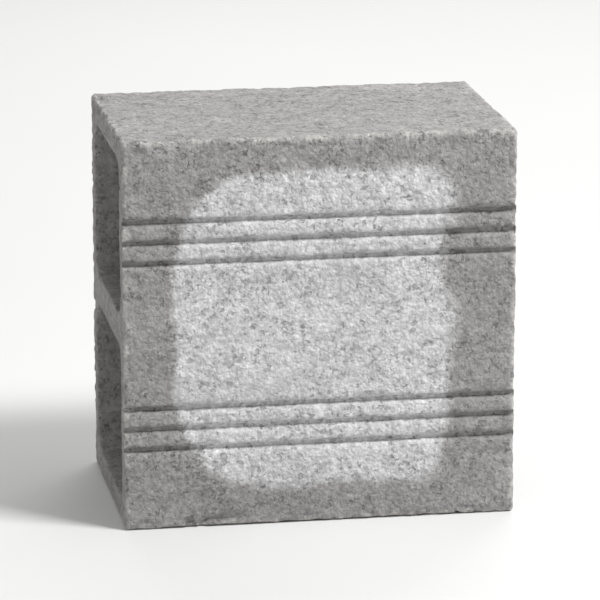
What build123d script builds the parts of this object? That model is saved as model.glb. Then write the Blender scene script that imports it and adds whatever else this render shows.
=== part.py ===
from build123d import *
import os

# A hollow concrete wall block, cast standing on one end and laid with its cells along the wall.
# X runs along the wall, Y through it from the front face to the back, and Z up.
# The origin is at the middle of the lower bed face. All sizes are in millimetres.

# Outer size of the block
length = 190.0
thickness = 120.0
height = 190.0

# Walls, measured at the end where they are thinnest
face_shell = 12.5
bed_wall = 12.0
middle_web = 16.0
cell_count = 2
cell_corner_radius = 12.0

# The cores that form the cells narrow towards their tips, so that they can be drawn out
core_draft = 1.5

# Grooves that key a coat of render to both faces, in a group over the middle of each cell
groove_mouth = 4.0
groove_floor = 1.2
groove_depth = 2.8
groove_pitch = 10.0
grooves_in_group = 3

# Edges: the mould box's corners round the long ones, and handling wears the ones round the ends
long_edge_radius = 2.5
end_edge_radius = 2.0
mouth_edge_break = 1.2

# How far a cutting shape runs past the block's surface
cut_allowance = 4.0

# Sizes that follow from the ones above
cell_width = thickness - 2 * face_shell
cell_height = (height - 2 * bed_wall - (cell_count - 1) * middle_web) / cell_count
cell_pitch = cell_height + middle_web
cell_centres = [bed_wall + cell_height / 2 + cell_pitch * index for index in range(cell_count)]


def section_at(x, z=0.0):
    """The plane across the block at x, with its own x along Y and its own y along Z."""
    return Plane(origin=(x, 0, z), x_dir=(0, 1, 0), z_dir=(1, 0, 0))


def block_body():
    """The block's outer form: a bar with rounded long edges and worn edges round its ends."""
    outline = section_at(-length / 2, height / 2) * RectangleRounded(thickness, height, long_edge_radius)
    body = extrude(outline, amount=length)
    ends = body.faces().sort_by(Axis.X)
    return fillet(ends[0].edges() + ends[-1].edges(), end_edge_radius)


def core_outline(x, centre):
    """A core's outline at x, drawn in on every side by the draft that it has reached there."""
    lean = core_draft * (x + length / 2) / length
    outline = RectangleRounded(cell_width - 2 * lean, cell_height - 2 * lean, cell_corner_radius - lean)
    return section_at(x, centre) * outline


def core(centre):
    """The tapered core that leaves one cell, open at both ends of the block."""
    reach = length / 2 + cut_allowance
    return loft([core_outline(-reach, centre), core_outline(reach, centre)], ruled=True)


def groove_cutter():
    """One groove's section, open towards -Y, as a bar along the whole block and past its ends."""
    mouth = groove_mouth / 2
    floor = groove_floor / 2
    flare = (mouth - floor) * cut_allowance / groove_depth
    section = section_at(-length / 2 - cut_allowance) * make_face(
        Polyline(
            (groove_depth, -floor),
            (groove_depth, floor),
            (-cut_allowance, mouth + flare),
            (-cut_allowance, -mouth - flare),
            close=True,
        )
    )
    return extrude(section, amount=length + 2 * cut_allowance)


def grooves():
    """All the grooves: a group over the middle of each cell, the same on the front and the back."""
    cutter = groove_cutter()
    first = -groove_pitch * (grooves_in_group - 1) / 2
    heights = [centre + first + groove_pitch * index
               for centre in cell_centres for index in range(grooves_in_group)]
    front = [Pos(0, -thickness / 2, z) * cutter for z in heights]
    back = [Pos(0, thickness / 2, z) * Rot(0, 0, 180) * cutter for z in heights]
    return front + back


def hollow_block():
    """The whole block, as it comes out of the mould."""
    block = block_body() - [core(centre) for centre in cell_centres]
    ends = block.faces().sort_by(Axis.X)
    mouths = [wire for end in (ends[0], ends[-1]) for wire in end.inner_wires()]
    block = chamfer([edge for wire in mouths for edge in wire.edges()], mouth_edge_break)
    return block - grooves()


os.makedirs("parts", exist_ok=True)
export_step(hollow_block().solid(), "parts/hollow_block.step")
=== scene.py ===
"""A hollow concrete wall block with its worn skin, on a pale studio floor, seen as it stands in its wall."""

import logging
import math
from dataclasses import dataclass
from enum import Enum
from typing import Any, Callable, Optional, Union

import bmesh
import bpy
import numpy as np
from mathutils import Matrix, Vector


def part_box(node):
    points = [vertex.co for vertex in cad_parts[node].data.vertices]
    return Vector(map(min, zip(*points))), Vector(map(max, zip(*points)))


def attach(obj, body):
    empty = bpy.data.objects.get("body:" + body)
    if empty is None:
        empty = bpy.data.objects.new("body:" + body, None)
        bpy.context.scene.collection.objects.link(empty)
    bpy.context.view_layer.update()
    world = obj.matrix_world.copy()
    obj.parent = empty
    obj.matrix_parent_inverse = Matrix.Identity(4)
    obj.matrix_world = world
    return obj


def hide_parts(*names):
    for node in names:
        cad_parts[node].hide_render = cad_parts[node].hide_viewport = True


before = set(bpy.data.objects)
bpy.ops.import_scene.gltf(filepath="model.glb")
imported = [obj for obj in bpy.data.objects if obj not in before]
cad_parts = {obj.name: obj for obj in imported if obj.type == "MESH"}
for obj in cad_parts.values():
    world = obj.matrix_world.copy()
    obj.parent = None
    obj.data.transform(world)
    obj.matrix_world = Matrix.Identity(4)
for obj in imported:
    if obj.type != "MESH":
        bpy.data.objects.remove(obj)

log = logging.getLogger("hollow_block")

Colour = tuple[float, float, float, float]
PointTest = Callable[[Vector], bool]

MM = 0.001
CAD_NODE = "hollow_block"
BODY = "root"

ON_PLANE = 0.01 * MM
MERGED_UNDER = 0.05 * MM
SMOOTH_UNDER = math.radians(50.0)


class Axis(Enum):
    """The block's directions, by the place of their coordinate."""

    ALONG = 0
    THROUGH = 1
    UP = 2


class Zone(Enum):
    """Where the skin wears, by the name of the vertex group that marks it."""

    ALL_OVER = ""
    ARRIS = "arris"
    EDGE_BAND = "edge_band"
    GROOVE_LIPS = "groove_lips"


class Mark(Enum):
    """What each vertex is marked with, for the finish to read."""

    HOLLOW = "hollow_mm"
    ARRIS = "arris"
    KEYED = "keyed"
    CORED = "cored"


class Channel:
    """A socket of a node tree, on which sums are written as plain Python."""

    def __init__(self, sheet: "NodeSheet", socket: bpy.types.NodeSocket) -> None:
        """Wrap one output socket of a node tree."""
        self.sheet = sheet
        self.socket = socket

    def _sum(self, operation: str, *values: Any) -> "Channel":
        """Add one Math node, with channels or numbers for its inputs, and give its output."""
        return self.sheet.node("ShaderNodeMath", {"operation": operation}, dict(enumerate(values)))

    def __add__(self, other: Any) -> "Channel":
        """This plus another."""
        return self._sum("ADD", self, other)

    def __radd__(self, other: Any) -> "Channel":
        """Another plus this."""
        return self._sum("ADD", other, self)

    def __sub__(self, other: Any) -> "Channel":
        """This less another."""
        return self._sum("SUBTRACT", self, other)

    def __rsub__(self, other: Any) -> "Channel":
        """Another less this."""
        return self._sum("SUBTRACT", other, self)

    def __mul__(self, other: Any) -> "Channel":
        """This times another."""
        return self._sum("MULTIPLY", self, other)

    def __truediv__(self, other: Any) -> "Channel":
        """This over another."""
        return self._sum("DIVIDE", self, other)

    def __pow__(self, other: Any) -> "Channel":
        """This to the power of another."""
        return self._sum("POWER", self, other)

    def beside(self, output: str) -> "Channel":
        """Another output of the node that this comes from."""
        return Channel(self.sheet, self.socket.node.outputs[output])

    def size(self) -> "Channel":
        """This without its sign."""
        return self._sum("ABSOLUTE", self)

    def least(self, other: Any) -> "Channel":
        """The smaller of this and another."""
        return self._sum("MINIMUM", self, other)

    def most(self, other: Any) -> "Channel":
        """The larger of this and another."""
        return self._sum("MAXIMUM", self, other)

    def ramp(self, low: Any, high: Any) -> "Channel":
        """Ease this from 0 at one value to 1 at another.

        Args:
            low: The value that gives 0.
            high: The value that gives 1, which may be the smaller one.

        Returns:
            The eased channel, between 0 and 1.
        """
        settings = {"interpolation_type": "SMOOTHSTEP"}
        values = {"Value": self, "From Min": low, "From Max": high}
        return self.sheet.node("ShaderNodeMapRange", settings, values)


class NodeSheet:
    """The node tree of a material or of the room, laid out from Python expressions."""

    def __init__(self, owner: Union[bpy.types.Material, bpy.types.World]) -> None:
        """Start with an empty tree.

        Args:
            owner: The material or world that the tree is for.
        """
        owner.use_nodes = True
        self.owner = owner
        self.tree = owner.node_tree
        self.tree.nodes.clear()

    def node(self, kind: str, settings: dict[str, Any], inputs: dict[Any, Any],
             output: Any = 0) -> Optional[Channel]:
        """Add one node, with its settings first and its sockets after.

        Args:
            kind: The node's type.
            settings: Properties of the node, such as its operation.
            inputs: Channels or plain values, by the socket's name or number.
            output: The name or number of the output that is wanted.

        Returns:
            The wanted output, or None from a node that has none.
        """
        made = self.tree.nodes.new(kind)
        for name, value in settings.items():
            setattr(made, name, value)
        for key, value in inputs.items():
            if isinstance(value, Channel):
                self.tree.links.new(value.socket, made.inputs[key])
            else:
                made.inputs[key].default_value = value
        return Channel(self, made.outputs[output]) if made.outputs else None

    def place(self) -> Channel:
        """The point of the surface, in the piece's own metres."""
        return self.node("ShaderNodeTexCoord", {}, {}, "Object")

    def marked(self, mark: Mark) -> Channel:
        """A number that the piece's vertices are marked with."""
        return self.node("ShaderNodeAttribute", {"attribute_name": mark.value}, {}, "Fac")

    def parts(self, vector: Channel) -> tuple[Channel, Channel, Channel]:
        """Split a vector or colour into its three numbers."""
        first = self.node("ShaderNodeSeparateXYZ", {}, {0: vector})
        return first, first.beside("Y"), first.beside("Z")

    def drawn_out(self, vector: Channel, share: float) -> Channel:
        """Squeeze coordinates to a share of their X, so that what is drawn on them comes out long."""
        return self.node("ShaderNodeMapping", {}, {"Vector": vector, "Scale": (share, 1.0, 1.0)})

    def noise(self, vector: Channel, feature: float, detail: float, roughness: float) -> Channel:
        """A soft cloudy pattern with spots of one size, mostly between 0.3 and 0.7."""
        values = {"Vector": vector, "Scale": 1.0 / feature, "Detail": detail, "Roughness": roughness}
        return self.node("ShaderNodeTexNoise", {}, values)

    def shaken(self, vector: Channel, feature: float, reach: float) -> Channel:
        """Push coordinates about at random, so that what is drawn on them loses its straight sides.

        Args:
            vector: The coordinates.
            feature: The size of the pushes' pattern.
            reach: How far the strongest push goes.

        Returns:
            The new coordinates.
        """
        values = {"Vector": vector, "Scale": 1.0 / feature, "Detail": 2.0}
        push = self.node("ShaderNodeTexNoise", {}, values, "Color")
        settings = {"operation": "MULTIPLY_ADD"}
        return self.node("ShaderNodeVectorMath", settings, {0: push, 1: (reach,) * 3, 2: vector})

    def grains(self, vector: Channel, spacing: float, feature: str) -> Channel:
        """The distance from one feature of packed grains, such as their middles."""
        values = {"Vector": vector, "Scale": 1.0 / spacing}
        return self.node("ShaderNodeTexVoronoi", {"feature": feature}, values, "Distance")

    def blend(self, share: Any, first: Any, second: Any) -> Channel:
        """Mix two colours, with a share of the second over the first."""
        settings = {"data_type": "RGBA", "blend_type": "MIX"}
        return self.node("ShaderNodeMix", settings, {0: share, 6: first, 7: second}, 2)

    def tinted(self, colour: Channel, strength: Channel) -> Channel:
        """Make a colour lighter or darker by a factor."""
        return self.node("ShaderNodeVectorMath", {"operation": "SCALE"}, {0: colour, "Scale": strength})

    def lifted(self, height: Channel) -> Channel:
        """The surface's direction with a relief on it, given in metres."""
        return self.node("ShaderNodeBump", {}, {"Height": height, "Distance": 1.0, "Strength": 1.0})

    def skin(self, sockets: dict[str, Any]) -> bpy.types.Material:
        """Finish a material with one plain shader.

        Args:
            sockets: Channels or plain values, by the shader's own names.

        Returns:
            The finished material.
        """
        shader = self.node("ShaderNodeBsdfPrincipled", {}, sockets)
        self.node("ShaderNodeOutputMaterial", {}, {"Surface": shader})
        return self.owner


@dataclass(frozen=True)
class Mottle:
    """One size of cloudy unevenness.

    Attributes:
        feature: The size of its larger spots.
        detail: How many finer layers it has.
        roughness: How strong those layers are.
        shade: How strongly it lightens and darkens the skin.
        lift: How far it lifts the skin, or moves an outline.
        drawn: 1, or less where the spots are drawn out into long streaks.
    """

    feature: float
    detail: float
    roughness: float
    shade: float = 0.0
    lift: float = 0.0
    drawn: float = 1.0

    def lay(self, sheet: NodeSheet, point: Channel) -> Channel:
        """Draw the pattern on some coordinates, as a channel about 0."""
        run = sheet.drawn_out(point, self.drawn) if self.drawn < 1.0 else point
        return sheet.noise(run, self.feature, self.detail, self.roughness) - 0.5


@dataclass(frozen=True)
class Patches:
    """Patches with soft edges, cut from a cloudy pattern.

    Attributes:
        feature: Their size.
        detail: How many finer layers the pattern has.
        roughness: How strong those layers are.
        start: The pattern's value at which a patch begins.
        full: The value from which it is solid.
    """

    feature: float
    detail: float
    roughness: float
    start: float
    full: float

    def lay(self, sheet: NodeSheet, point: Channel, unit: float = 1.0) -> Channel:
        """Draw the patches, from 0 between them to 1 inside, with their size in some unit."""
        pattern = sheet.noise(point, self.feature * unit, self.detail, self.roughness)
        return pattern.ramp(self.start, self.full)


@dataclass(frozen=True)
class Grit:
    """One size of the aggregate that the skin is pressed from, some of it missing.

    Attributes:
        spacing: How far apart the grains lie.
        lost: The share of them that is missing where most are.
        shade: How much lighter or darker one grain is than another.
        crown_shading: How much lighter a grain's top is painted than its foot, as painted highlight on the
            top and painted shade at the foot.
        shadow: How much darker the hole of a missing grain is.
        lift: How high a grain stands.
        depth: How deep a hole is.
        pushes: How many pushes out of place there are to a grain.
        reach: How far a push goes, in grains.
        slope: How far from its middle a grain's foot and top lie, in grains.
        rim: How far inside its outline a hole begins and is deepest, in grains.
        uneven: How much smaller some holes are, in grains.
        doubt: Between which leads of that share over its chance a grain is partly lost.
        clusters: Where more grains are missing, in grains.
    """

    spacing: float
    lost: float
    shade: float
    crown_shading: float
    shadow: float
    lift: float
    depth: float
    pushes: float = 1.3
    reach: float = 1.1
    slope: tuple[float, float] = (0.85, 0.1)
    rim: tuple[float, float] = (-0.02, 0.22)
    uneven: float = 0.12
    doubt: tuple[float, float] = (-0.005, 0.02)
    clusters: Patches = Patches(9.0, 2.0, 0.5, start=0.32, full=0.7)

    def lay(self, sheet: NodeSheet, point: Channel) -> tuple[Channel, Channel, Channel]:
        """Draw the grains.

        Args:
            sheet: The material's node tree.
            point: The coordinates.

        Returns:
            How far up a grain's rounded top a point is, how light or dark the grain is about 0, and
            where a missing grain leaves a hole.
        """
        loose = sheet.shaken(point, self.spacing / self.pushes, self.spacing * self.reach)
        middle = sheet.grains(loose, self.spacing, "F1")
        chance, shade, spare = sheet.parts(middle.beside("Color"))
        inside = sheet.grains(loose, self.spacing, "DISTANCE_TO_EDGE") - spare * self.uneven
        share = self.clusters.lay(sheet, point, self.spacing) * self.lost
        gone = (share - chance).ramp(*self.doubt) * inside.ramp(*self.rim)
        return middle.ramp(*self.slope), shade - 0.5, gone


@dataclass(frozen=True)
class DryPatch:
    """The rounded patch in the middle of each face that has dried, inside margins that are still damp.

    Attributes:
        left_margin: How wide the damp is on the left, and so for the other margins.
        corner: The radius of the patch's corners.
        corner_lean: How much smaller that radius gets along the block.
        flare: How much higher the patch gets along the block, above and below.
        dry_depth: How far in from a face it has dried.
        crisp: Half the width of the damp's edge on the left.
        blurred: The same on the right.
        wander: What makes the outline irregular.
    """

    left_margin: float = 26.0 * MM
    right_margin: float = 34.0 * MM
    lower_margin: float = 19.0 * MM
    upper_margin: float = 18.0 * MM
    corner: float = 25.0 * MM
    corner_lean: float = 0.15
    flare: float = 0.075
    dry_depth: float = 6.0 * MM
    crisp: float = 2.5 * MM
    blurred: float = 5.0 * MM
    wander: tuple[Mottle, ...] = (
        Mottle(60.0 * MM, 0.0, 0.5, lift=15.0 * MM),
        Mottle(27.0 * MM, 1.0, 0.4, lift=9.0 * MM),
        Mottle(3.6 * MM, 3.0, 0.6, lift=7.0 * MM),
    )

    def front(self, sheet: NodeSheet, point: Channel, low: Vector, high: Vector) -> Channel:
        """How far outside the patch a point lies, in metres. It is below 0 inside the patch.

        Args:
            sheet: The material's node tree.
            point: The coordinates.
            low: The block's lowest corner.
            high: The block's highest corner.

        Returns:
            The distance from the patch's rounded, wandering outline.
        """
        x, y, z = sheet.parts(point)
        left, right = low.x + self.left_margin, high.x - self.right_margin
        bottom, top = low.z + self.lower_margin, high.z - self.upper_margin
        corner = self.corner - x * self.corner_lean
        across = (x - (left + right) / 2).size() + corner - (right - left) / 2
        up = (z - (bottom + top) / 2).size() + corner - x * self.flare - (top - bottom) / 2
        past = (across.most(0.0) ** 2.0 + up.most(0.0) ** 2.0) ** 0.5
        distance = past + across.most(up).least(0.0) - corner
        for one in self.wander:
            distance = distance + one.lay(sheet, point) * one.lift
        return distance.most(high.y - self.dry_depth - y.size())

    def wetness(self, along: Channel, front: Channel, low: Vector, high: Vector) -> Channel:
        """How damp a point is, from 0 to 1. The damp's edge is crisp on the left and blurred on the right."""
        spread = along.ramp(low.x, high.x) * (self.blurred - self.crisp) + self.crisp
        return (front / spread).ramp(-1.0, 1.0)


@dataclass(frozen=True)
class Salts:
    """The faint white salts that dry out on the face, most of all just inside the damp.

    Attributes:
        colour: Their colour.
        patches: Where they lie.
        specks: What a patch is made of.
        patch_share: How much of them shows in a patch.
        rim_share: How much of them shows along the damp.
        rim: How far inside the damp's edge that rim starts.
        rim_edge: How far inside it the rim is strongest.
        least_speck: How much is left between the specks.
        washed: How much less there is where the face is damp.
    """

    colour: Colour = (0.74, 0.74, 0.74, 1.0)
    patches: Patches = Patches(30.0 * MM, 4.0, 0.62, start=0.5, full=0.74)
    specks: Patches = Patches(2.6 * MM, 2.0, 0.6, start=0.46, full=0.68)
    patch_share: float = 0.6
    rim_share: float = 0.3
    rim: float = 13.0 * MM
    rim_edge: float = 2.0 * MM
    least_speck: float = 0.4
    washed: float = 0.7

    def lay(self, sheet: NodeSheet, point: Channel, front: Channel, wet: Channel) -> Channel:
        """Draw the salts.

        Args:
            sheet: The material's node tree.
            point: The coordinates.
            front: The distance outside the patch.
            wet: The dampness.

        Returns:
            How much of the salts shows.
        """
        rim = front.ramp(-self.rim, -self.rim_edge) * (1.0 - wet)
        laid = self.patches.lay(sheet, point) * self.patch_share + rim * self.rim_share
        specks = self.least_speck + self.specks.lay(sheet, point) * (1.0 - self.least_speck)
        return laid * specks * (1.0 - wet * self.washed)


@dataclass(frozen=True)
class WornEdgeHighlight:
    """The lighter aggregate that shows in places along the worn edges, laid on strongly enough to stand as a
    painted highlight there as well.

    Attributes:
        colour: Its colour.
        patches: Those places.
        share: How much of it shows there.
        start: How near an edge it begins to show, from 0 to 1.
    """

    colour: Colour = (0.60, 0.585, 0.555, 1.0)
    patches: Patches = Patches(7.0 * MM, 3.0, 0.6, start=0.36, full=0.58)
    share: float = 0.75
    start: float = 0.35

    def lay(self, sheet: NodeSheet, point: Channel) -> Channel:
        """How much of the aggregate and its painted highlight shows at a point, from 0 up to its share."""
        near = sheet.marked(Mark.ARRIS).ramp(self.start, 1.0)
        return near * self.patches.lay(sheet, point) * self.share


@dataclass(frozen=True)
class DampConcrete:
    """Pressed grey concrete, dry and pale in the middle of its faces and damp along its joints.

    Attributes:
        dry: The colour of the dry concrete.
        damp: The colour of the damp concrete.
        patch: Where the faces have dried.
        salts: The salts on them.
        edge_wear_highlight: The lighter worn aggregate along their edges, which also paints a highlight
            there.
        mottles: The skin's unevenness, the finest first.
        grits: The grains in it.
        drag: The streaks that the mould and the cores leave.
        cored_drag_shade: How much more they show in the cells.
        cored_drag_lift: How much deeper they are there.
        cored_smoothing: How much of the other relief is gone there.
        ridge_highlight: How much lighter the ridges between the grooves are painted, as a painted highlight.
        groove_shadow: How much darker the grooves' floors are painted, partly as dust and partly as painted
            shade.
        hollow_shadow: How much darker the deepest chips are painted, partly as dust and partly as painted
            shade.
        hollow_mm: Between which depths of wear that darkening grows.
        roughness: How rough the dry concrete is.
        damp_sheen: How much smoother the damp concrete is.
        uneven_sheen: How much the roughness varies.
        reflection: How strongly the skin reflects.
    """

    dry: Colour = (0.54, 0.538, 0.545, 1.0)
    damp: Colour = (0.292, 0.283, 0.277, 1.0)
    patch: DryPatch = DryPatch()
    salts: Salts = Salts()
    edge_wear_highlight: WornEdgeHighlight = WornEdgeHighlight()
    mottles: tuple[Mottle, ...] = (
        Mottle(0.9 * MM, 3.0, 0.7, shade=0.36, lift=0.2 * MM),
        Mottle(2.6 * MM, 3.0, 0.6, shade=0.62, lift=0.35 * MM),
        Mottle(6.5 * MM, 3.0, 0.55, shade=0.8, lift=0.7 * MM),
        Mottle(48.0 * MM, 3.0, 0.55, shade=0.2),
        Mottle(11.0 * MM, 2.0, 0.5, shade=0.2, drawn=0.08),
    )
    grits: tuple[Grit, ...] = (
        Grit(1.5 * MM, lost=0.26, shade=0.22, crown_shading=0.08, shadow=0.32, lift=0.22 * MM, depth=0.55 * MM),
        Grit(2.7 * MM, lost=0.14, shade=0.12, crown_shading=0.0, shadow=0.26, lift=0.35 * MM, depth=0.8 * MM),
    )
    drag: Mottle = Mottle(2.6 * MM, 2.0, 0.6, shade=0.12, lift=0.1 * MM, drawn=0.05)
    cored_drag_shade: float = 0.4
    cored_drag_lift: float = 0.9 * MM
    cored_smoothing: float = 0.5
    ridge_highlight: float = 0.03
    groove_shadow: float = 0.06
    hollow_shadow: float = 0.35
    hollow_mm: tuple[float, float] = (0.3, 2.6)
    roughness: float = 0.94
    damp_sheen: float = 0.16
    uneven_sheen: float = 0.12
    reflection: float = 0.35

    def dress(self, piece: bpy.types.Object, low: Vector, high: Vector) -> None:
        """Give a piece this finish.

        Args:
            piece: The piece.
            low: The block's lowest corner.
            high: The block's highest corner.
        """
        sheet = NodeSheet(bpy.data.materials.new("damp_concrete"))
        point = sheet.place()
        front = self.patch.front(sheet, point, low, high)
        wet = self.patch.wetness(sheet.parts(point)[0], front, low, high)
        colour = sheet.blend(wet, self.dry, self.damp)
        colour = sheet.blend(self.salts.lay(sheet, point, front, wet), colour, self.salts.colour)
        # Lighter worn aggregate along the edges, which also stands as a painted highlight on them.
        colour = sheet.blend(self.edge_wear_highlight.lay(sheet, point), colour, self.edge_wear_highlight.colour)

        cored = sheet.marked(Mark.CORED)
        drag = self.drag.lay(sheet, point)
        mottles = [(one, one.lay(sheet, point)) for one in self.mottles]
        grits = [(one, *one.lay(sheet, point)) for one in self.grits]
        tone = 1.0 + drag * (cored * self.cored_drag_shade + self.drag.shade)
        height = 0.0
        for one, pattern in mottles:
            tone = tone + pattern * one.shade
            height = height + pattern * one.lift
        for one, dome, shade, gone in grits:
            # Each grain's top gets a painted highlight and its foot painted shade, besides its own tone.
            tone = tone + shade * one.shade + (dome - 0.5) * one.crown_shading
            height = height + dome * one.lift - gone * one.depth
        for one, dome, shade, gone in grits:
            tone = tone * (1.0 - gone * one.shadow)
        height = height * (1.0 - cored * self.cored_smoothing)
        height = height + drag * (cored * self.cored_drag_lift + self.drag.lift)

        finest = mottles[0][1]
        piece.data.materials.clear()
        piece.data.materials.append(sheet.skin({
            "Base Color": sheet.tinted(colour, tone * self._shadow(sheet)),
            "Roughness": self.roughness - wet * self.damp_sheen + finest * self.uneven_sheen,
            "Normal": sheet.lifted(height),
            "Specular IOR Level": self.reflection,
        }))

    def _shadow(self, sheet: NodeSheet) -> Channel:
        """Paint shade, with some dust, into the grooves and the hollows of the worn skin, and paint a
        highlight on the ridges.

        Args:
            sheet: The material's node tree.

        Returns:
            A factor of about 1.
        """
        keyed = sheet.marked(Mark.KEYED)
        hollow = sheet.marked(Mark.HOLLOW).ramp(*self.hollow_mm)
        # Painted highlight on the ridges; painted shade with some dust on the grooves' floors and in the
        # deepest hollows.
        key_light_and_shade = keyed.most(0.0) * self.ridge_highlight + keyed.least(0.0) * self.groove_shadow + 1.0
        return key_light_and_shade * (1.0 - hollow * self.hollow_shadow)


@dataclass
class Workpiece:
    """A mesh on the bench, shaped with Blender's own modelling operators.

    Attributes:
        piece: The object that has the mesh.
    """

    piece: bpy.types.Object

    @classmethod
    def bar(cls, name: str, low: Vector, high: Vector) -> "Workpiece":
        """Start from a bar between two corners.

        Args:
            name: The piece's name.
            low: The lowest corner.
            high: The highest corner.

        Returns:
            The new workpiece.
        """
        bpy.ops.object.select_all(action="DESELECT")
        bpy.ops.mesh.primitive_cube_add(size=1.0, location=(low + high) / 2, scale=high - low)
        piece = bpy.context.object
        piece.name = name
        piece.data.name = name
        bpy.ops.object.transform_apply(location=True, rotation=True, scale=True)
        return cls(piece)

    def _choose(self) -> None:
        """Select the piece and nothing else."""
        bpy.ops.object.select_all(action="DESELECT")
        self.piece.select_set(True)
        bpy.context.view_layer.objects.active = self.piece

    def _pick(self, wanted: Callable[[bmesh.types.BMesh], list]) -> int:
        """Enter edit mode and select some of the mesh and nothing else.

        Args:
            wanted: What lists the vertices, edges or faces to select.

        Returns:
            How many were selected.
        """
        self._choose()
        bpy.ops.object.mode_set(mode="EDIT")
        bpy.ops.mesh.select_all(action="DESELECT")
        mesh = bmesh.from_edit_mesh(self.piece.data)
        chosen = wanted(mesh)
        for element in chosen:
            element.select_set(True)
        mesh.select_flush_mode()
        bmesh.update_edit_mesh(self.piece.data)
        return len(chosen)

    def pick_points(self, test: PointTest) -> None:
        """Select the vertices that pass a test of their place."""
        bpy.context.tool_settings.mesh_select_mode = (True, False, False)
        self._pick(lambda mesh: [v for v in mesh.verts if test(v.co)])

    def pick_edges(self, axis: Axis, test: PointTest, longer: float = 0.0, straight: float = 0.98) -> int:
        """Select edges along one direction.

        Args:
            axis: The direction.
            test: Whether an edge is wanted, from its middle.
            longer: The least length of an edge.
            straight: The least share of its length that runs in the direction.

        Returns:
            How many were selected.
        """
        def wanted(edge: bmesh.types.BMEdge) -> bool:
            """Whether an edge runs the right way, is long enough and passes the test."""
            first, second = (v.co for v in edge.verts)
            run = second - first
            along = abs(run[axis.value])
            return along > longer and along > straight * run.length and test((first + second) / 2)

        bpy.context.tool_settings.mesh_select_mode = (False, True, False)
        return self._pick(lambda mesh: [e for e in mesh.edges if wanted(e)])

    def pick_rim(self, axis: Axis, place: float) -> None:
        """Select the edges round a flat end.

        Args:
            axis: The direction that the end is square to.
            place: Where along it the end lies.
        """
        def on_end(face: bmesh.types.BMFace) -> bool:
            """Whether a face lies flat on that end."""
            return all(abs(v.co[axis.value] - place) < ON_PLANE for v in face.verts)

        bpy.context.tool_settings.mesh_select_mode = (False, True, False)
        self._pick(lambda mesh: [e for e in mesh.edges if sum(map(on_end, e.link_faces)) == 1])

    def done(self) -> None:
        """Leave edit mode."""
        bpy.ops.object.mode_set(mode="OBJECT")

    def round_edges(self, radius: float, segments: int) -> None:
        """Round the selected edges in facets, starting a radius away from each."""
        bpy.ops.mesh.bevel(offset=radius, segments=segments, affect="EDGES", clamp_overlap=False)
        self.done()

    def slice(self, axis: Axis, place: float) -> None:
        """Cut a line right round the piece.

        Args:
            axis: The direction that the cut is square to.
            place: Where along it the cut lies.
        """
        normal = Vector((0.0, 0.0, 0.0))
        normal[axis.value] = 1.0
        self.pick_points(lambda point: True)
        bpy.ops.mesh.bisect(plane_co=normal * place, plane_no=normal)
        self.done()

    def divide(self, axis: Axis, low: float, high: float, spacing: float, play: float = 0.1) -> None:
        """Divide the edges that run from one place to another along an axis into equal steps.

        Args:
            axis: The direction of the edges.
            low: Where they start.
            high: Where they end.
            spacing: The longest step.
            play: How far off an end may be, as a share of the way between the places.
        """
        place, span = (low + high) / 2, high - low
        cuts = math.ceil(span / spacing) - 1
        slack = play * span
        found = self.pick_edges(axis, lambda point: abs(point[axis.value] - place) < slack, span - 2 * slack)
        if cuts > 0 and found:
            bpy.ops.mesh.subdivide(number_cuts=cuts)
        self.done()

    def spread(self, centre: Vector, factors: tuple[float, float, float]) -> None:
        """Scale the selected points about a fixed point, by a factor for each direction."""
        bpy.ops.transform.resize(value=factors, center_override=centre)
        self.done()

    def modify(self, kind: str, **settings: Any) -> None:
        """Add one modifier and apply it.

        Args:
            kind: The modifier's type.
            settings: Its properties.
        """
        self._choose()
        modifier = self.piece.modifiers.new(kind.lower(), kind)
        for name, value in settings.items():
            setattr(modifier, name, value)
        bpy.ops.object.modifier_apply(modifier=modifier.name)

    def tidy(self, closer: float) -> None:
        """Merge points that lie together, split the faces into triangles and point them outwards.

        Args:
            closer: The distance under which points are merged.
        """
        self.pick_points(lambda point: True)
        bpy.ops.mesh.remove_doubles(threshold=closer)
        bpy.ops.mesh.dissolve_degenerate(threshold=closer / 2)
        bpy.ops.mesh.quads_convert_to_tris(quad_method="SHORTEST_DIAGONAL", ngon_method="BEAUTY")
        bpy.ops.mesh.normals_make_consistent(inside=False)
        self.done()

    def points(self) -> np.ndarray:
        """Every vertex's place, one row each."""
        places = np.empty(len(self.piece.data.vertices) * 3, dtype=np.float32)
        self.piece.data.vertices.foreach_get("co", places)
        return places.reshape(-1, 3).astype(float)

    def move_points(self, places: np.ndarray) -> None:
        """Put every vertex at its new place, one row each."""
        self.piece.data.vertices.foreach_set("co", places.astype(np.float32).ravel())

    def weigh(self, zone: Zone, weights: np.ndarray, steps: int = 32) -> None:
        """Give each vertex its weight in a group.

        Args:
            zone: The group.
            weights: One weight from 0 to 1 for each vertex.
            steps: How many different weights are told apart.
        """
        group = self.piece.vertex_groups.new(name=zone.value)
        levels = np.round(weights * steps)
        for step in range(1, steps + 1):
            group.add(np.nonzero(levels == step)[0].tolist(), step / steps, "REPLACE")

    def mark(self, mark: Mark, values: np.ndarray) -> None:
        """Mark each vertex with its own number."""
        kept = self.piece.data.attributes.new(mark.value, "FLOAT", "POINT")
        kept.data.foreach_set("value", values.astype(np.float32))


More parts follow.
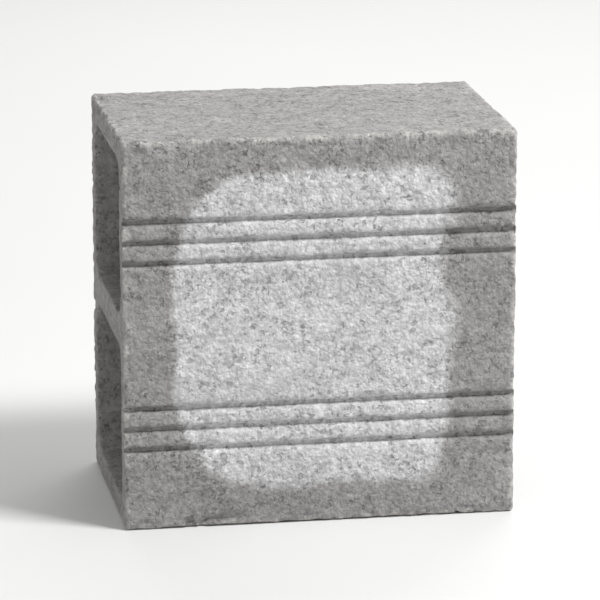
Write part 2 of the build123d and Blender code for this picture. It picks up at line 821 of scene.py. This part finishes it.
@dataclass(frozen=True)
class Pitting:
    """One layer of unevenness, pressed into the skin where its clouds are dense.

    Attributes:
        name: What it stands for.
        feature: The size of the clouds.
        depth: How far it is pressed in at the most.
        thin: How dense the clouds are where it begins, from 0 to 1.
        dense: How dense they are where it is deepest.
        zone: Where on the block it is pressed in.
        layers: How many finer layers the clouds have.
    """

    name: str
    feature: float
    depth: float
    thin: float
    dense: float
    zone: Zone = Zone.ALL_OVER
    layers: int = 3

    def texture(self) -> bpy.types.Texture:
        """Draw the clouds, from 0 where nothing happens to 1 where the skin is pressed deepest.

        Returns:
            The texture.
        """
        made = bpy.data.textures.new(self.name, "CLOUDS")
        made.noise_scale = self.feature
        made.noise_depth = self.layers
        made.use_color_ramp = True
        stops = made.color_ramp.elements
        stops[0].position, stops[1].position = self.thin, self.dense
        stops[0].color, stops[1].color = (0.0, 0.0, 0.0, 1.0), (1.0, 1.0, 1.0, 1.0)
        made.color_ramp.interpolation = "EASE"
        return made

    def press(self, work: Workpiece) -> None:
        """Press the pattern into a workpiece."""
        work.modify("DISPLACE", texture=self.texture(), texture_coords="LOCAL", direction="NORMAL",
                    mid_level=0.0, strength=-self.depth, vertex_group=self.zone.value)


@dataclass
class HollowBlock:
    """The block: a pressed body with two tapered cells, key grooves on both faces and worn edges.

    Attributes:
        low: Its lowest corner.
        high: Its highest corner.
        face_shell: How thick the faces' walls are at the left end.
        bed_wall: How thick the top and bottom walls are there.
        middle_web: How thick the wall between the cells is there.
        core_draft: How much tighter a cell is at the right end, on every side.
        cell_radius: The radius of the cells' corners.
        cell_facets: How many facets such a corner has.
        groove_mouth: How wide a groove is at the face, and so for its floor.
        groove_depth: How deep a groove is.
        groove_pitch: How far apart the grooves of a group are.
        lip_width: How far the worn lip of a groove reaches onto the face.
        lip_drop: How low it is at the groove.
        long_radius: The radius of the edges along the block.
        end_radius: The radius of the edges round its ends.
        edge_facets: How many facets those edges have.
        mouth_flare: How far the edge of a cell's mouth is broken.
        flare_start: The share of that break that its inner facet takes.
        overrun: How far a core reaches past the block's ends.
        skin_step: How fine the net of faces is, and so for beds and cells.
        arris_reach: How far from an edge its wear reaches.
        band_reach: How far from an edge chips break out.
        edge_highlight_reach: How far from an edge the lighter aggregate and its painted highlight show.
        lip_reach: How far from a groove's lip the lip crumbles.
        wear_layers: The skin's unevenness, in working order.
        finish: What the block is made of.
    """

    low: Vector
    high: Vector
    face_shell: float = 12.5 * MM
    bed_wall: float = 12.0 * MM
    middle_web: float = 16.0 * MM
    core_draft: float = 1.5 * MM
    cell_radius: float = 12.0 * MM
    cell_facets: int = 9
    groove_mouth: float = 4.0 * MM
    groove_floor: float = 1.2 * MM
    groove_depth: float = 2.8 * MM
    groove_pitch: float = 10.0 * MM
    lip_width: float = 0.7 * MM
    lip_drop: float = 0.25 * MM
    long_radius: float = 2.5 * MM
    end_radius: float = 2.0 * MM
    edge_facets: int = 4
    mouth_flare: float = 1.2 * MM
    flare_start: float = 0.3
    overrun: float = 6.0 * MM
    skin_step: float = 1.4 * MM
    bed_step: float = 2.3 * MM
    cell_step: float = 2.6 * MM
    arris_reach: float = 4.5 * MM
    band_reach: float = 9.0 * MM
    edge_highlight_reach: float = 6.0 * MM
    lip_reach: float = 2.2 * MM
    wear_layers: tuple[Pitting, ...] = (
        Pitting("face_swell", 34.0 * MM, depth=0.35 * MM, thin=0.2, dense=0.8),
        Pitting("sand_grit", 3.2 * MM, depth=0.30 * MM, thin=0.3, dense=0.8),
        Pitting("worn_arris", 5.0 * MM, depth=0.8 * MM, thin=0.35, dense=0.8, zone=Zone.ARRIS),
        Pitting("edge_chips", 12.0 * MM, depth=2.4 * MM, thin=0.68, dense=0.76, zone=Zone.EDGE_BAND),
        Pitting("crumbled_lips", 4.5 * MM, depth=0.9 * MM, thin=0.45, dense=0.85, zone=Zone.GROOVE_LIPS),
        Pitting("open_pits", 5.5 * MM, depth=0.9 * MM, thin=0.66, dense=0.82),
    )
    finish: DampConcrete = DampConcrete()

    def cell_height(self) -> float:
        """How high each cell is where it is widest."""
        return (self.high.z - self.low.z - 2 * self.bed_wall - self.middle_web) / 2

    def cell_centres(self) -> list[float]:
        """The height of each cell's middle."""
        pitch = self.cell_height() + self.middle_web
        middle = (self.low.z + self.high.z) / 2
        return [middle - pitch / 2, middle + pitch / 2]

    def groove_heights(self) -> list[float]:
        """The height of each groove's middle, in threes over the middle of each cell."""
        return [centre + step * self.groove_pitch for centre in self.cell_centres() for step in (-1, 0, 1)]

    def groove_rows(self) -> list[tuple[float, float]]:
        """Lay out the lines across one groove.

        Returns:
            How far each line is from the groove's middle, and how deep it lies.
        """
        mouth, floor, depth = self.groove_mouth / 2, self.groove_floor / 2, self.groove_depth
        upper = [(mouth + self.lip_width, 0.0), (mouth, self.lip_drop)]
        lower = [((mouth + floor) / 2, depth / 2), (floor, depth)]
        return upper + lower + [(-offset, sunk) for offset, sunk in reversed(upper + lower)]

    def body(self) -> Workpiece:
        """Shape the outer form, with its grooves, as a fine net of faces.

        Returns:
            The body, still without its cells.
        """
        work = Workpiece.bar("concrete_block", self.low, self.high)
        work.pick_edges(Axis.ALONG, lambda middle: True)
        work.round_edges(self.long_radius, self.edge_facets)
        for place in (self.low.x, self.high.x):
            work.pick_rim(Axis.ALONG, place)
            work.round_edges(self.end_radius, self.edge_facets)
        lines = sorted(height + offset for height in self.groove_heights()
                       for offset, _ in self.groove_rows())
        for line in lines:
            work.slice(Axis.UP, line)
        stops = [self.low.z + self.long_radius, *lines, self.high.z - self.long_radius]
        for start, end in zip(stops, stops[1:]):
            work.divide(Axis.UP, start, end, self.skin_step)
        inset = self.long_radius
        work.divide(Axis.THROUGH, self.low.y + inset, self.high.y - inset, self.bed_step)
        inset = self.end_radius
        work.divide(Axis.ALONG, self.low.x + inset, self.high.x - inset, self.skin_step)
        self._cut_grooves(work)
        return work

    def _cut_grooves(self, work: Workpiece) -> None:
        """Flatten each groove's lines, on both faces of the body, onto the depth that they lie at."""
        by_depth: dict[float, list[float]] = {}
        for offset, depth in self.groove_rows():
            if depth > 0.0:
                by_depth.setdefault(depth, []).extend(height + offset for height in self.groove_heights())
        for outward, face in ((-1, self.low.y), (1, self.high.y)):
            for depth, heights in by_depth.items():
                level = face - outward * depth
                wanted = np.array(heights)
                work.pick_points(lambda point: outward * (point.y - level) > 0.0
                                 and np.abs(wanted - point.z).min() < ON_PLANE)
                work.spread(Vector((0.0, level, 0.0)), (1.0, 0.0, 1.0))

    def core(self, centre: float) -> Workpiece:
        """Shape the tapered core of one cell, flared a little at both mouths.

        Args:
            centre: The height of the cell's middle.

        Returns:
            The core.
        """
        length = self.high.x - self.low.x
        reach = length / 2 + self.overrun
        middle = (self.low + self.high) / 2
        middle.z = centre
        half = Vector((reach, self.high.y - middle.y - self.face_shell, self.cell_height() / 2))
        work = Workpiece.bar("core", middle - half, middle + half)
        work.pick_edges(Axis.ALONG, lambda point: True)
        work.round_edges(self.cell_radius, self.cell_facets)
        for end in (-1, 1):
            place = middle.x + end * half.x
            lean = self.core_draft * (place - self.low.x) / length
            work.pick_points(lambda point: abs(point.x - place) < ON_PLANE)
            work.spread(Vector((place, middle.y, middle.z)), (1.0, 1.0 - lean / half.y, 1.0 - lean / half.z))
        self._flare_mouths(work, middle, half)
        inner = length / 2 - self.mouth_flare
        work.divide(Axis.ALONG, middle.x - inner, middle.x + inner, self.cell_step)
        for axis in (Axis.THROUGH, Axis.UP):
            straight = half[axis.value] - self.cell_radius
            place = middle[axis.value]
            work.divide(axis, place - straight, place + straight, self.cell_step)
        return work

    def _flare_mouths(self, work: Workpiece, middle: Vector, half: Vector) -> None:
        """Widen a core where it meets the block's ends, so that it breaks the edge of each mouth.

        Args:
            work: The core.
            middle: Its middle.
            half: Half its size.
        """
        full = self.mouth_flare
        start = full * self.flare_start
        for outward, mouth in ((-1, self.low.x), (1, self.high.x)):
            for inset in (0.0, start, full):
                work.slice(Axis.ALONG, mouth - outward * inset)
            for reach, flare in ((self.overrun, full), (0.0, full), (-start, start)):
                place = mouth + outward * reach
                work.pick_points(lambda point: abs(point.x - place) < ON_PLANE)
                factors = (1.0, 1.0 + flare / half.y, 1.0 + flare / half.z)
                work.spread(Vector((place, middle.y, middle.z)), factors)

    def wear(self, work: Workpiece) -> None:
        """Press the skin's unevenness into the block, and mark it for the finish."""
        before = work.points()
        work.weigh(Zone.ARRIS, self._near_edges(before, self.arris_reach))
        work.weigh(Zone.EDGE_BAND, self._near_edges(before, self.band_reach))
        work.weigh(Zone.GROOVE_LIPS, self._near_lips(before))
        for layer in self.wear_layers:
            layer.press(work)
        after = np.clip(work.points(), np.array(self.low), np.array(self.high))
        work.move_points(after)
        work.piece.vertex_groups.clear()
        # The hollow mark, and the keyed mark below, place painted shade with some dust in the hollows and
        # grooves and a painted highlight on the ridges.
        work.mark(Mark.HOLLOW, np.linalg.norm(after - before, axis=1) / MM)
        # The arris mark places the lighter worn aggregate and its painted highlight along the edges.
        work.mark(Mark.ARRIS, self._near_edges(before, self.edge_highlight_reach))
        work.mark(Mark.KEYED, self._keying(before))
        work.mark(Mark.CORED, self._coring(before))

    def _depths(self, points: np.ndarray) -> np.ndarray:
        """How far inside the block's box points lie along each direction, one row each."""
        return np.minimum(points - np.array(self.low), np.array(self.high) - points)

    def _near_edges(self, points: np.ndarray, reach: float) -> np.ndarray:
        """Weigh points from 1 on the block's outer edges to 0 at a reach away from them."""
        gaps = np.sort(self._depths(points), axis=1)
        return np.clip(1.0 - (gaps[:, 0] + gaps[:, 1]) / reach, 0.0, 1.0)

    def _near_lips(self, points: np.ndarray) -> np.ndarray:
        """Weigh points by how near they are to the lips of the grooves.

        Args:
            points: The points.

        Returns:
            1 on a lip, 0 away from it.
        """
        outer = self._depths(points)[:, 1] < self.groove_depth / 2
        lips = np.array([height + sign * self.groove_mouth / 2
                         for height in self.groove_heights() for sign in (-1, 1)])
        gap = np.abs(points[:, 2:3] - lips).min(axis=1)
        return np.clip(1.0 - gap / self.lip_reach, 0.0, 1.0) * outer

    def _keying(self, points: np.ndarray, slack: float = 0.1 * MM) -> np.ndarray:
        """Tell the grooves from the ridges that stand between them.

        Args:
            points: The points, before they are worn.
            slack: How far off a surface a point may lie and still count as on it.

        Returns:
            1 on a ridge, down to -1 on the floor of a groove, 0 elsewhere.
        """
        sunk = self._depths(points)[:, 1]
        gap = np.abs(points[:, 2:3] - np.array(self.groove_heights())).min(axis=1)
        groove = (gap < self.groove_mouth / 2 + slack) & (sunk < self.groove_depth + slack)
        ridge = (gap < self.groove_pitch / 2) & (sunk < slack) & ~groove
        offset = np.abs(points[:, 2:3] - np.array(self.cell_centres())).min(axis=1)
        return np.where(groove, -sunk / self.groove_depth, ridge & (offset < self.groove_pitch))

    def _coring(self, points: np.ndarray, fade: float = 5.0 * MM,
                end_fade: float = 4.0 * MM) -> np.ndarray:
        """Tell the walls of the cells, along which the cores were drawn out.

        Args:
            points: The points, before they are worn.
            fade: How far under the grooves' floor the walls begin to count in full.
            end_fade: How far from the block's ends they do.

        Returns:
            1 on a cell's wall, 0 on the outside and on the ends.
        """
        depths = self._depths(points)
        across = np.minimum(depths[:, 1], depths[:, 2]) - self.groove_depth
        return np.clip(across / fade, 0.0, 1.0) * np.clip(depths[:, 0] / end_fade, 0.0, 1.0)

    def build(self) -> bpy.types.Object:
        """Make the whole block.

        Returns:
            The finished piece.
        """
        work = self.body()
        for centre in self.cell_centres():
            core = self.core(centre)
            work.modify("BOOLEAN", operation="DIFFERENCE", solver="MANIFOLD", object=core.piece)
            bpy.data.objects.remove(core.piece, do_unlink=True)
        work.tidy(MERGED_UNDER)
        self.wear(work)
        bpy.ops.object.shade_smooth_by_angle(angle=SMOOTH_UNDER)
        return work.piece

    def dress(self, piece: bpy.types.Object) -> None:
        """Finish the built block and set it in the frame, in place of its plain solid."""
        self.finish.dress(piece, self.low, self.high)
        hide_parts(CAD_NODE)
        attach(piece, BODY)


@dataclass(frozen=True)
class Lamp:
    """One soft square lamp: its direction from the block in degrees, its power in watts and its side."""

    name: str
    azimuth: float
    elevation: float
    power: float
    size: float


@dataclass
class Studio:
    """The pale floor, the soft lamps and the camera.

    Attributes:
        low: The block's lowest corner.
        high: The block's highest corner.
        azimuth: Degrees round the block to the camera, 0 in front of it.
        elevation: Degrees above the horizon.
        distance: How far the camera is from the block's middle.
        lens: Its focal length in millimetres.
        floor_half: How far the floor reaches.
        floor_dark: The floor's darkest colour.
        floor_light: The floor's lightest colour.
        floor_mottle: The size of its spots.
        lamp_distance: How far the lamps are from it.
        lamps: The lamps.
        room_strength: How bright the room's light is.
        wall_tone: How bright the wall looks.
    """

    low: Vector
    high: Vector
    azimuth: float = -9.7
    elevation: float = 14.3
    distance: float = 2.0
    lens: float = 245.0
    floor_half: float = 6.0
    floor_dark: Colour = (0.74, 0.74, 0.735, 1.0)
    floor_light: Colour = (0.78, 0.78, 0.775, 1.0)
    floor_mottle: float = 0.4
    lamp_distance: float = 1.8
    lamps: tuple[Lamp, ...] = (
        Lamp("key", azimuth=52.0, elevation=52.0, power=31.5, size=0.5),
        Lamp("fill", azimuth=-55.0, elevation=25.0, power=4.0, size=1.6),
        Lamp("back", azimuth=165.0, elevation=40.0, power=14.0, size=1.4),
    )
    room_strength: float = 0.34
    wall_tone: float = 0.9

    def floor(self) -> None:
        """Lay the floor."""
        sheet = NodeSheet(bpy.data.materials.new("studio_floor"))
        mottle = sheet.noise(sheet.place(), self.floor_mottle, detail=2.0, roughness=0.5)
        tone = sheet.blend(mottle, self.floor_dark, self.floor_light)
        bpy.ops.object.select_all(action="DESELECT")
        bpy.ops.mesh.primitive_plane_add(size=2 * self.floor_half, location=(0.0, 0.0, self.low.z))
        made = bpy.context.object
        made.name = "studio_floor"
        bpy.ops.object.transform_apply(location=True, rotation=True, scale=True)
        made.data.materials.append(sheet.skin({"Base Color": tone, "Roughness": 0.85}))

    def _stand(self, data: bpy.types.ID, azimuth: float, elevation: float,
               distance: float) -> bpy.types.Object:
        """Stand a lamp or camera round the block and turn it to the block's middle.

        Args:
            data: What the lamp or camera is.
            azimuth: Degrees round the block, 0 in front of it.
            elevation: Degrees above the horizon.
            distance: How far away it stands.

        Returns:
            Its object.
        """
        turn, rise = math.radians(azimuth), math.radians(elevation)
        back = Vector((math.sin(turn) * math.cos(rise), -math.cos(turn) * math.cos(rise), math.sin(rise)))
        made = bpy.data.objects.new(data.name, data)
        made.location = (self.low + self.high) / 2 + back * distance
        made.rotation_euler = (-back).to_track_quat("-Z", "Y").to_euler()
        bpy.context.collection.objects.link(made)
        return made

    def hang(self, lamp: Lamp) -> None:
        """Hang one lamp."""
        data = bpy.data.lights.new(lamp.name, "AREA")
        data.energy, data.size = lamp.power, lamp.size
        self._stand(data, lamp.azimuth, lamp.elevation, self.lamp_distance)

    def camera(self) -> None:
        """Set the camera where the photograph was taken from."""
        data = bpy.data.cameras.new("camera")
        data.lens = self.lens
        made = self._stand(data, self.azimuth, self.elevation, self.distance)
        bpy.context.scene.camera = made

    def room(self) -> None:
        """Light the block evenly from all round, behind a wall that looks nearly white."""
        sheet = NodeSheet(bpy.data.worlds.new("studio_room"))
        seen = sheet.node("ShaderNodeLightPath", {}, {}, "Is Camera Ray")
        mirrored = seen.beside("Is Glossy Ray")
        light = sheet.node("ShaderNodeBackground", {}, {"Color": (1.0,) * 4, "Strength": self.room_strength})
        pale = (self.wall_tone,) * 3 + (1.0,)
        wall = sheet.node("ShaderNodeBackground", {}, {"Color": pale, "Strength": 1.0})
        shown = sheet.node("ShaderNodeMixShader", {}, {0: seen.most(mirrored), 1: light, 2: wall})
        sheet.node("ShaderNodeOutputWorld", {}, {"Surface": shown})
        bpy.context.scene.world = sheet.owner

    def set_up(self) -> None:
        """Put the whole studio round the block."""
        self.floor()
        for lamp in self.lamps:
            self.hang(lamp)
        self.camera()
        self.room()
        bpy.context.scene.view_settings.view_transform = "Standard"


def main() -> None:
    """Build the block, dress it, and set up the studio."""
    logging.basicConfig(level=logging.INFO)
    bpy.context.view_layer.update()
    low, high = (Vector(corner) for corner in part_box(CAD_NODE))
    block = HollowBlock(low, high)
    piece = block.build()
    block.dress(piece)
    log.info("%s: %d faces", piece.name, len(piece.data.polygons))
    Studio(low, high).set_up()


if __name__ == "__main__":
    main()
